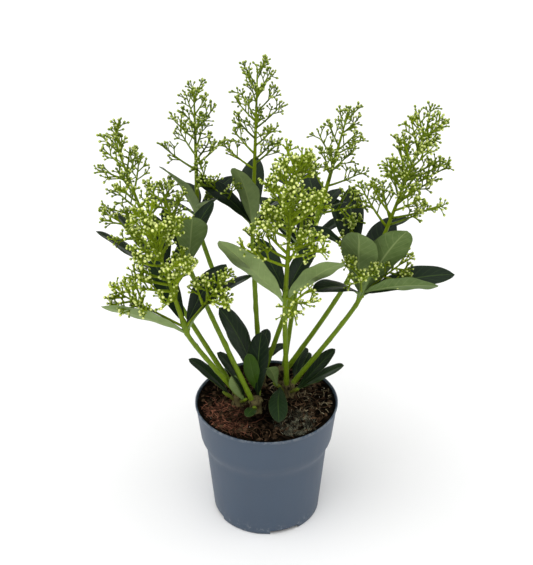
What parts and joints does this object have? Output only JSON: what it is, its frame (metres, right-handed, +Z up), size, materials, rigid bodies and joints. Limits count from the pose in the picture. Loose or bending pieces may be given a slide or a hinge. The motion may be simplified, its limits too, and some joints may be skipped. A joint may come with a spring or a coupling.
{
  "type": "potted skimmia",
  "caption": "Young evergreen shrub in bud, with whorls of leathery leaves and loose upright panicles, in a round plastic nursery pot filled with compost.",
  "frame": {"origin": "middle of the pot's flat underside, at ground level", "axes": "+Z up the plant, -Y towards the viewer of the picture, +X to the viewer's right"},
  "size_m": [0.2797, 0.209, 0.3901],
  "materials": {
    "pot": "satin",
    "compost": "rough",
    "bark": "rough",
    "stem": "satin",
    "leaf": "satin",
    "bud": "matte"
  },
  "bodies": {
    "root": {"pot": "pot", "compost": "compost", "stub_left": "bark", "stub_middle": "bark", "stub_right": "bark", "stub_back": "bark", "stub_rear": "bark", "stem_left": "stem", "stem_back_left": "stem", "stem_back": "stem", "stem_front": "stem", "stem_back_right": "stem", "stem_right": "stem", "stem_front_left": "stem", "stem_mid_left": "stem", "stem_mid_right": "stem", "stem_rear": "stem", "whorl_left": "leaf", "whorl_back_left": "leaf", "whorl_back": "leaf", "whorl_front": "leaf", "whorl_back_right": "leaf", "whorl_right": "leaf", "whorl_front_left": "leaf", "whorl_mid_left": "leaf", "whorl_mid_right": "leaf", "whorl_rear": "leaf", "foot_leaves_left": "leaf", "foot_leaves_left_inner": "leaf", "foot_leaves_middle": "leaf", "foot_leaves_middle_rear": "leaf", "foot_leaves_right": "leaf", "foot_leaves_right_inner": "leaf", "foot_leaves_right_rear": "leaf", "foot_leaves_back": "leaf", "foot_leaves_rear": "leaf", "panicle_left": "bud", "panicle_back_left": "bud", "panicle_back": "bud", "panicle_front": "bud", "panicle_back_right": "bud", "panicle_right": "bud", "panicle_front_left": "bud", "panicle_mid_left": "bud", "panicle_mid_right": "bud", "panicle_rear": "bud"}
  },
  "joints": []
}
